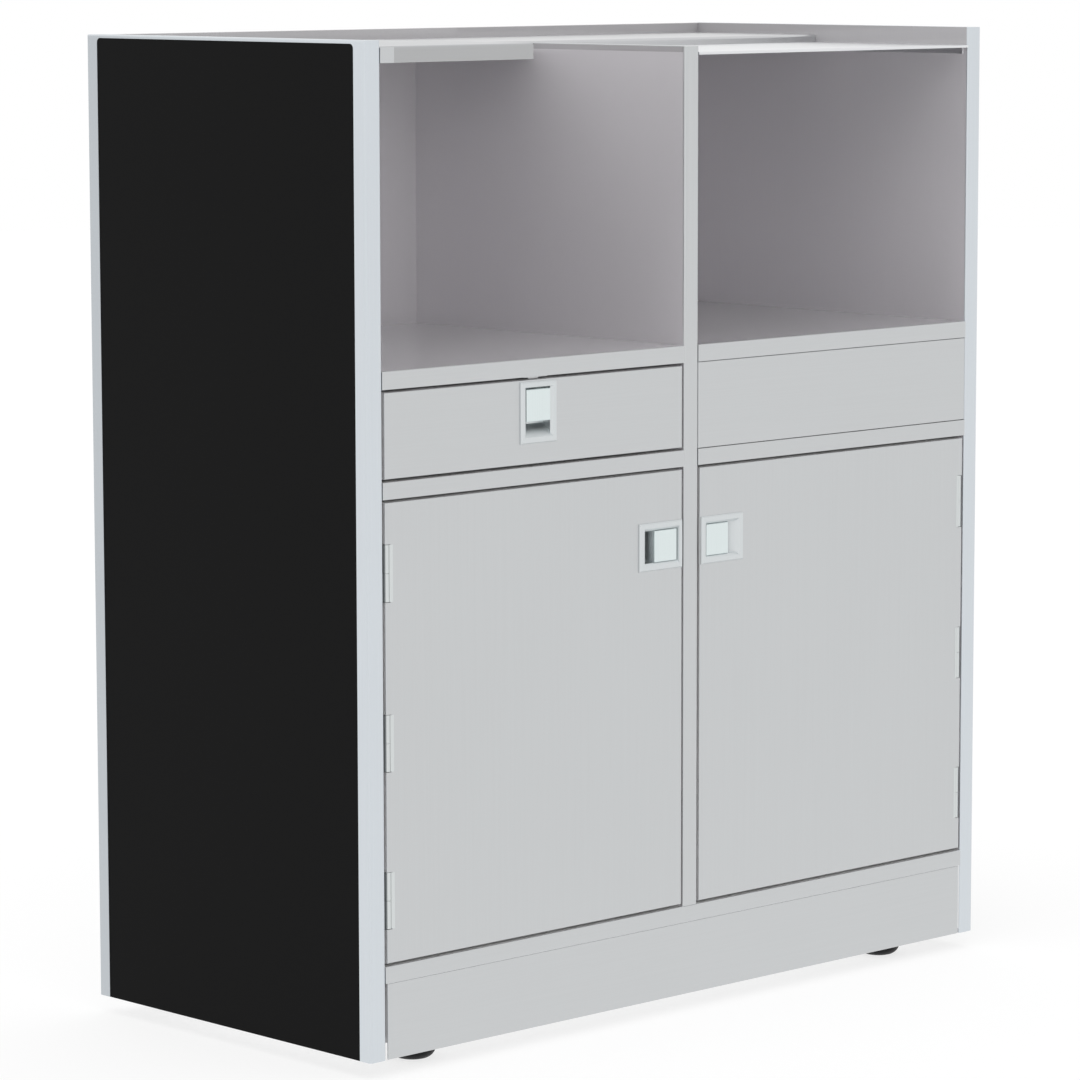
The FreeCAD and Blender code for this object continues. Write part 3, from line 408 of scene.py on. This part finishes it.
FINISHES = {
    # The folded returns in the gaps carry painted light.
    "front_upright": steel("front_upright", FRONT, "z", FOLD_PAINTED_LIGHT, folded_edges),
    "front_level": steel("front_level", FRONT, "x", FOLD_PAINTED_LIGHT, folded_edges),
    "front_post": steel("front_post", POST, "z", BAY, frame_inner_faces),
    "divider": steel("divider", FRONT, "z", BAY, divider_faces),
    "bay_floor": steel("bay_floor", FRONT, "x", BAY, folded_edges),
    "rear_liner": steel("rear_liner", BAY, "z"),
    "deck": steel("deck", DECK, "x"),
    # The ledge carries painted shade, darker on its upright faces.
    "ledge": steel("ledge", LEDGE_TOP_SHADE, "x", LEDGE_FRONT_SHADE, below_roll),
    # The front deck carries painted light.
    "front_deck": steel("front_deck", FRONT_DECK_PAINTED_LIGHT, "x"),
    "sheet": steel("sheet", FRONT, "z"),
    "zinc": galvanised("zinc", ZINC, ZINC_ROUGHNESS),
    "latch_body": steel("latch_body", LATCH_BODY, "z", edge_highlight=1.08, shade=0.015),
    "latch_flap": steel("latch_flap", LATCH_FLAP, "z", edge_highlight=1.08, shade=0.015),
    # The hinge carries painted shade on its sides next to the posts.
    "hinge": steel("hinge", HINGE, "z", HINGE_PAINTED_SHADE, painted_hinge_shade),
    "hinge_lip": steel("hinge_lip", HINGE, "z"),
    "painted_light_filler": steel("painted_light_filler", FILLER_PAINTED_LIGHT, "x"),
    "bright": steel("bright", BRIGHT, "z"),
    "board": laminate("board", BLACK),
    "coated": coated("coated", COAT_BLACK),
}

FEET = ["front_left_foot", "front_right_foot", "rear_left_foot", "rear_right_foot"]
DRESS = {
    "front_post": ["left_side_frame", "right_side_frame"],
    "divider": ["divider"],
    "board": ["left_side_board", "right_side_board"],
    "rear_liner": ["rear_liner"],
    "bay_floor": ["left_bay_floor", "right_bay_floor"],
    "deck": ["rear_deck"],
    "ledge": ["left_ledge"],
    "front_deck": ["front_deck"],
    "sheet": ["back_panel", "ledge_bracket", "left_door_inner", "right_door_inner"],
    "front_upright": ["left_door_skin", "right_door_skin"],
    "front_level": [
        "drawer_front",
        "blank_panel",
        "left_mid_rail",
        "right_mid_rail",
        "cabinet_floor",
        "kick_plate",
        "left_shelf",
        "right_shelf",
    ],
    "zinc": [
        "kick_brackets",
        "front_base_channel",
        "rear_base_channel",
        "door_stops",
        "strike_plates",
        "shelf_clips",
        "drawer_box",
        "slide_outer_members",
        "slide_middle_members",
        "slide_inner_members",
        "foot_nuts",
    ],
    "hinge": ["hinge_frame_leaves", "left_hinge_door_leaves", "right_hinge_door_leaves"],
    "coated": FEET,
}
for side in ("left", "right", "drawer"):
    DRESS.setdefault("latch_body", []).append(side + "_latch_housing")
    DRESS.setdefault("latch_flap", []).append(side + "_latch_flap")
    DRESS.setdefault("bright", []).extend(side + "_latch_" + name for name in ("bolt", "pin", "spring"))
DRESS["bright"].append("hinge_pins")


def dress():
    for finish, names in DRESS.items():
        for name in names:
            piece = nodes[name]
            for slot in piece.material_slots:
                slot.material = FINISHES[finish]


# ---------------------------------------------------------------- pieces
SMOOTH_ANGLE = math.radians(32)
HELIX_PROFILE = (0.0, -1.0, -1.0, 0.0)


def lathe(bm, profile, centre, axis_x, axis_y, axis_z, turns, material=0):
    """Turn a profile of (radius, height) points about axis_z, closed at both ends."""
    rings = []
    for radius, height in profile:
        ring = []
        for i in range(turns):
            angle = math.tau * i / turns
            across = math.cos(angle) * axis_x + math.sin(angle) * axis_y
            ring.append(bm.verts.new(centre + radius * across + height * axis_z))
        rings.append(ring)
    for lower, upper in zip(rings, rings[1:]):
        for i in range(turns):
            j = (i + 1) % turns
            bm.faces.new((lower[i], lower[j], upper[j], upper[i])).material_index = material
    bm.faces.new(list(reversed(rings[0]))).material_index = material
    bm.faces.new(rings[-1]).material_index = material


def helix(bm, centre, radius, depth, pitch, low, high, turns, material):
    """A thread's surface along +Z: rows of points that climb one pitch per turn."""
    steps = len(HELIX_PROFILE)
    rows = int((high - low) / pitch) * steps
    grid = []
    for row in range(rows + 1):
        ring = []
        for i in range(turns + 1):
            angle = math.tau * i / turns
            height = low + pitch * (row / steps + i / turns - 1.0)
            height = min(max(height, low), high)
            reach = radius + depth * HELIX_PROFILE[row % steps]
            point = Vector((reach * math.cos(angle), reach * math.sin(angle), height))
            ring.append(bm.verts.new(centre + point))
        grid.append(ring)
    for lower, upper in zip(grid, grid[1:]):
        for i in range(turns):
            face = bm.faces.new((lower[i], lower[i + 1], upper[i + 1], upper[i]))
            face.material_index = material


def make_piece(name, bm, body, finishes):
    """Turn a built mesh into a smooth-shaded piece that rides on a body."""
    mesh = bpy.data.meshes.new(name)
    bm.normal_update()
    bm.to_mesh(mesh)
    bm.free()
    for face in mesh.polygons:
        face.use_smooth = True
    mesh.set_sharp_from_angle(angle=SMOOTH_ANGLE)
    piece = bpy.data.objects.new(name, mesh)
    bpy.context.scene.collection.objects.link(piece)
    for finish in finishes:
        mesh.materials.append(FINISHES[finish])
    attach(piece, body)
    return piece


PAD_HEIGHT = 0.013
PAD_TURNS = 64
STEM_RADIUS = 0.006
STEM_TURNS = 24
STEM_SINK = 0.001
THREAD_PITCH = 0.00175
THREAD_DEPTH = 0.0007
SOLE = (
    (0.0125, 0.0006),
    (0.0135, 0.0),
    (0.0150, 0.0001),
    (0.0175, 0.0008),
    (0.0200, 0.0022),
    (0.0222, 0.0042),
    (0.0238, 0.0065),
    (0.0247, 0.0088),
    (0.0250, 0.0105),
    (0.0249, 0.0118),
    (0.0244, 0.0127),
    (0.0236, PAD_HEIGHT),
    (STEM_RADIUS, PAD_HEIGHT),
)


def make_foot(name):
    """Levelling foot: a pad with a bowl-shaped sole, on a threaded stem."""
    low, high = (Vector(corner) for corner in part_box(name))
    centre = Vector(((low.x + high.x) / 2, (low.y + high.y) / 2, low.z))
    bm = bmesh.new()
    axes = Vector((1, 0, 0)), Vector((0, 1, 0)), Vector((0, 0, 1))
    lathe(bm, SOLE, centre, *axes, turns=PAD_TURNS)
    top = high.z - low.z
    core = STEM_RADIUS - THREAD_DEPTH
    stem = [(core, PAD_HEIGHT - STEM_SINK), (core, top)]
    lathe(bm, stem, centre, *axes, turns=STEM_TURNS, material=1)
    helix(bm, centre, STEM_RADIUS, THREAD_DEPTH, THREAD_PITCH, PAD_HEIGHT, top, STEM_TURNS, material=1)
    piece = make_piece(name + "_turned", bm, name, ["coated", "zinc"])
    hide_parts(name)


def strip(bm, section, low, high):
    """Extrude a closed section of (x, y) points from one height to another."""
    lower = [bm.verts.new((x, y, low)) for x, y in section]
    upper = [bm.verts.new((x, y, high)) for x, y in section]
    for i in range(len(section)):
        j = (i + 1) % len(section)
        bm.faces.new((lower[i], lower[j], upper[j], upper[i]))
    bm.faces.new(list(reversed(lower)))
    bm.faces.new(upper)


# The lip's section: distances along the door from the pins' axis, and behind the fronts' plane.
HINGE_LIP = (
    (0.0024, 0.00075),
    (0.0034, 0.00000),
    (0.0044, -0.00030),
    (0.0056, -0.00032),
    (0.0066, -0.00012),
    (0.0066, -0.00002),
    (0.0040, -0.00002),
    (0.0034, 0.00030),
    (0.0026, 0.00100),
)
HINGE_SPAN = 0.060
HINGE_MIDDLE_SHIFT = -0.006
HINGE_PIN_RADIUS = 0.002


def make_hinge_lips(side, sign):
    """The edge of each hinge leaf, turned over the door skin beside its barrel."""
    low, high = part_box(side + "_hinge_door_leaves")
    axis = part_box("hinge_pins")[1][0] - HINGE_PIN_RADIUS
    middle = (low[2] + high[2]) / 2
    starts = (low[2], middle + HINGE_MIDDLE_SHIFT - HINGE_SPAN / 2, high[2] - HINGE_SPAN)
    section = [(sign * (axis - along), FRONT_Y + deep) for along, deep in HINGE_LIP]
    if sign < 0:
        section.reverse()
    bm = bmesh.new()
    for start in starts:
        strip(bm, section, start, start + HINGE_SPAN)
    make_piece(side + "_hinge_lips", bm, side + "_door", ["hinge_lip"])


# Kick plate fillers, painted light: how far their faces lie behind the fronts' plane, and the right
# notch.
SEAM_DEPTH = 0.00025
SEAM_BACK = 0.0009
END_DEPTH = 0.0014
END_BACK = 0.0024
END_NOTCH = 0.0055


def make_kick_painted_light_fillers():
    """Pale sheets painting light into the seam over the kick plate and the gap at its right end."""
    plate_low, plate_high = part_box("kick_plate")
    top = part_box("cabinet_floor")[0][2]
    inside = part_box("right_side_frame")[0][0]
    bm = bmesh.new()
    front, back = FRONT_Y + SEAM_DEPTH, FRONT_Y + SEAM_BACK
    left, right = plate_low[0], plate_high[0]
    seam = [(left, front), (right, front), (right, back), (left, back)]
    strip(bm, seam, plate_high[2], top)
    front, back = FRONT_Y + END_DEPTH, FRONT_Y + END_BACK
    end = [(right, front), (inside, front), (inside, back), (right, back)]
    strip(bm, end, plate_low[2] + END_NOTCH, top)
    make_piece("kick_plate_painted_light_fillers", bm, "carcass", ["painted_light_filler"])


RIVET_RADIUS = 0.0034
RIVET_HEIGHT = 0.00045
RIVET_MARGIN = 0.022
RIVET_TURNS = 20
RIVETS_ACROSS = 7
RIVETS_UP = 8
RIVET_PROFILE = (
    (RIVET_RADIUS, 0.0),
    (RIVET_RADIUS * 0.93, RIVET_HEIGHT * 0.6),
    (RIVET_RADIUS * 0.7, RIVET_HEIGHT),
    (RIVET_RADIUS * 0.34, RIVET_HEIGHT),
    (RIVET_RADIUS * 0.3, RIVET_HEIGHT * 0.2),
)


def spaced(low, high, count):
    """Evenly spaced values, with both ends."""
    return [low + (high - low) * i / (count - 1) for i in range(count)]


def make_rivets():
    """Flat blind rivets round the edge of the back panel."""
    low, high = (Vector(corner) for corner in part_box("back_panel"))
    left, right = low.x + RIVET_MARGIN, high.x - RIVET_MARGIN
    bottom, top = low.z + RIVET_MARGIN, high.z - RIVET_MARGIN
    places = [(x, z) for x in spaced(left, right, RIVETS_ACROSS) for z in (bottom, top)]
    places += [(x, z) for x in (left, right) for z in spaced(bottom, top, RIVETS_UP)[1:-1]]
    bm = bmesh.new()
    axes = Vector((1, 0, 0)), Vector((0, 0, -1)), Vector((0, 1, 0))
    for x, z in places:
        lathe(bm, RIVET_PROFILE, Vector((x, high.y, z)), *axes, turns=RIVET_TURNS)
    make_piece("back_panel_rivets", bm, "carcass", ["zinc"])


# ---------------------------------------------------------------- floor, world and lamp
FLOOR_TURNS = 96
FLOOR_REACH = 14.0
FLOOR_SEEN = 0.30
FLOOR_GLOW = 0.76
FLOOR_BOUNCE = 0.75
SKY_ON_OBJECT = 0.85
KEY_PLACE, KEY_AIM = (-2.2, -3.4, 3.6), (0.0, 0.0, 0.6)
KEY_SIZE = (2.4, 2.4)
KEY_POWER = 20.0


def make_floor():
    """A wide pale disc. Camera and mirror see it white; it keeps the object's soft shadow."""
    angles = [math.tau * i / FLOOR_TURNS for i in range(FLOOR_TURNS)]
    corners = [(FLOOR_REACH * math.cos(a), FLOOR_REACH * math.sin(a), 0.0) for a in angles]
    mesh = bpy.data.meshes.new("floor")
    mesh.from_pydata(corners, [], [list(range(FLOOR_TURNS))])
    floor = bpy.data.objects.new("floor", mesh)
    bpy.context.scene.collection.objects.link(floor)
    material = bpy.data.materials.new("floor")
    t = Tree(material)
    path = t.add("ShaderNodeLightPath").outputs
    lit = t.add("ShaderNodeBsdfDiffuse", {"Color": grey(FLOOR_SEEN)}).outputs[0]
    glow = t.add("ShaderNodeEmission", {"Color": grey(1.0), "Strength": FLOOR_GLOW}).outputs[0]
    seen = t.add("ShaderNodeAddShader", {0: lit, 1: glow}).outputs[0]
    plain = t.add("ShaderNodeBsdfDiffuse", {"Color": grey(FLOOR_BOUNCE)}).outputs[0]
    white = t.add("ShaderNodeEmission", {"Color": grey(1.0), "Strength": 1.0}).outputs[0]
    bounce = t.add("ShaderNodeMixShader", {0: path["Is Glossy Ray"], 1: plain, 2: white}).outputs[0]
    t.finish(t.add("ShaderNodeMixShader", {0: path["Is Camera Ray"], 1: bounce, 2: seen}).outputs[0])
    mesh.materials.append(material)


def make_world():
    """A white sky, a little weaker as light than as seen."""
    world = bpy.data.worlds.new("studio")
    t = Tree(world)
    path = t.add("ShaderNodeLightPath").outputs
    shown = t.maths("MAXIMUM", path["Is Camera Ray"], path["Is Glossy Ray"])
    shown = t.maths("MAXIMUM", shown, path["Is Transmission Ray"])
    strength = t.between(shown, SKY_ON_OBJECT, 1.0)
    sky = t.add("ShaderNodeBackground", {"Color": grey(1.0), "Strength": strength}).outputs[0]
    t.add("ShaderNodeOutputWorld", {"Surface": sky})
    bpy.context.scene.world = world


def make_lamp(name, place, aim, size, power):
    data = bpy.data.lights.new(name, "AREA")
    data.shape = "RECTANGLE"
    data.size, data.size_y = size
    data.energy = power
    lamp = bpy.data.objects.new(name, data)
    lamp.location = place
    lamp.rotation_mode = "QUATERNION"
    lamp.rotation_quaternion = (Vector(aim) - Vector(place)).to_track_quat("-Z", "Y")
    bpy.context.scene.collection.objects.link(lamp)


make_camera()
make_floor()
make_world()
make_lamp("key", KEY_PLACE, KEY_AIM, KEY_SIZE, KEY_POWER)
dress()
for foot in FEET:
    make_foot(foot)
make_rivets()
make_kick_painted_light_fillers()
make_hinge_lips("left", -1)
make_hinge_lips("right", 1)

scene = bpy.context.scene
scene.view_settings.view_transform = "Standard"
